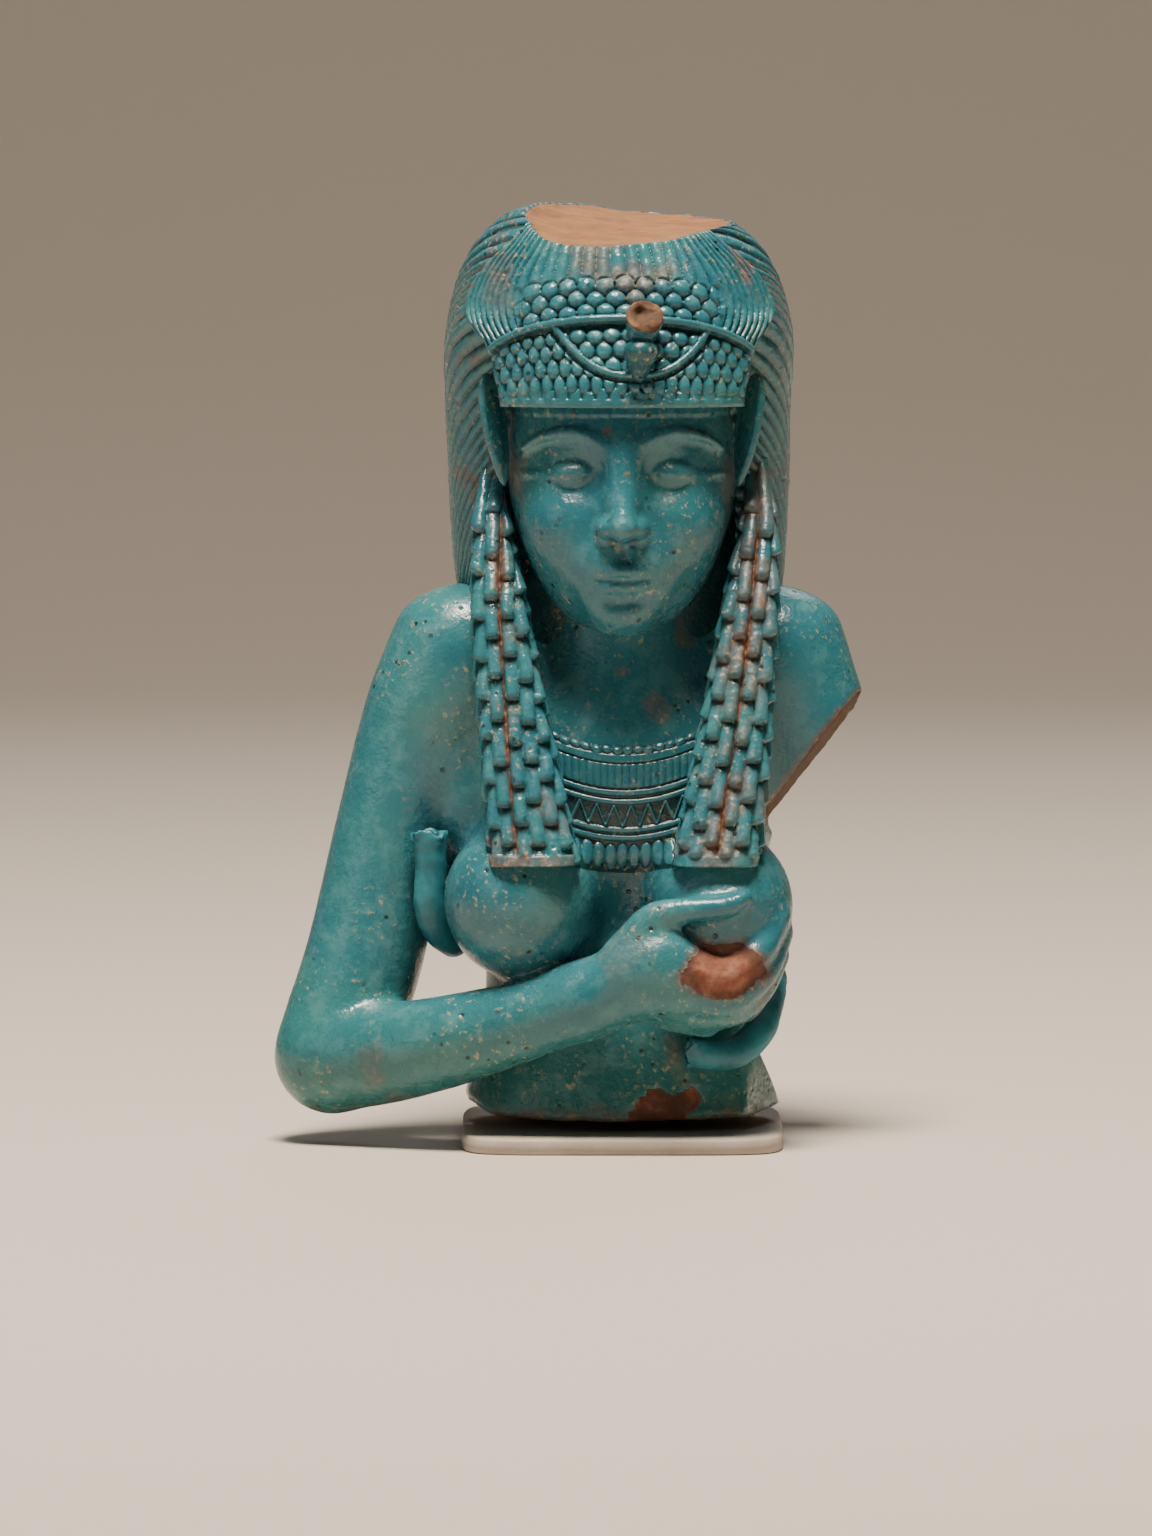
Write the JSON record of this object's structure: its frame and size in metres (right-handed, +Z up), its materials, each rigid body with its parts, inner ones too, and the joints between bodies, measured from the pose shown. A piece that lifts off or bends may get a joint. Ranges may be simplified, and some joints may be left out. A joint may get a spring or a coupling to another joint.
{
  "type": "faience figure bust on a museum cradle",
  "caption": "Broken bust of a goddess in turquoise glazed faience, an arm crossing to the breast, held on a painted wire cradle with a flat foot.",
  "frame": {"origin": "centre of the underside of the cradle's foot", "axes": "+X to the viewer's right, -Y towards the viewer who faces the bust, +Z up"},
  "size_m": [0.0582, 0.0392, 0.0939],
  "materials": {
    "faience": "glossy turquoise glaze over a tan fired core",
    "mount_paint": "matt blue-green paint on brazed rod",
    "sleeve_paint": "matt blue-green paint on thin padding tube"
  },
  "bodies": {
    "root": {"isis_bust": "faience", "cradle": "mount_paint", "sleeve_left": "sleeve_paint", "sleeve_right": "sleeve_paint"}
  },
  "joints": []
}
